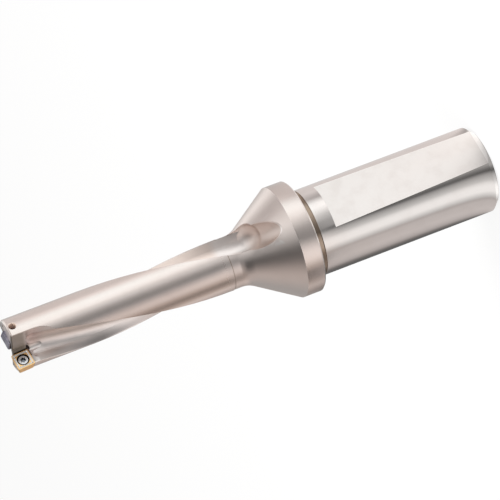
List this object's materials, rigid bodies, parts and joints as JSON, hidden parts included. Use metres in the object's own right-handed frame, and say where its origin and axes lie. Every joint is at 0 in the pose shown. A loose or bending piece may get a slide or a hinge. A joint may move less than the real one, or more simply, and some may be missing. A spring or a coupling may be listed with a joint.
{
  "type": "indexable drill",
  "caption": "Indexable drill with replaceable cutting inserts, twisted flutes, a flanged collar and a cylindrical shank with a clamping flat and coolant inlet.",
  "frame": {"origin": "centre of the shank's end face, which the drill stands on", "axes": "+Z along the tool axis from the shank end to the cutting tip, -Y the side of the clamping flat and of the outer insert's rake face"},
  "size_m": [0.0324, 0.0324, 0.1447],
  "materials": {
    "body_steel": "satin nickel-plated steel",
    "gold_carbide": "gold-coloured hard coating on ground carbide",
    "grey_carbide": "blue-grey hard coating on ground carbide",
    "screw_steel": "bright steel"
  },
  "bodies": {
    "root": {"drill_body": "body_steel", "outer_insert": "gold_carbide", "inner_insert": "grey_carbide", "outer_insert_screw": "screw_steel", "inner_insert_screw": "screw_steel"}
  },
  "joints": []
}
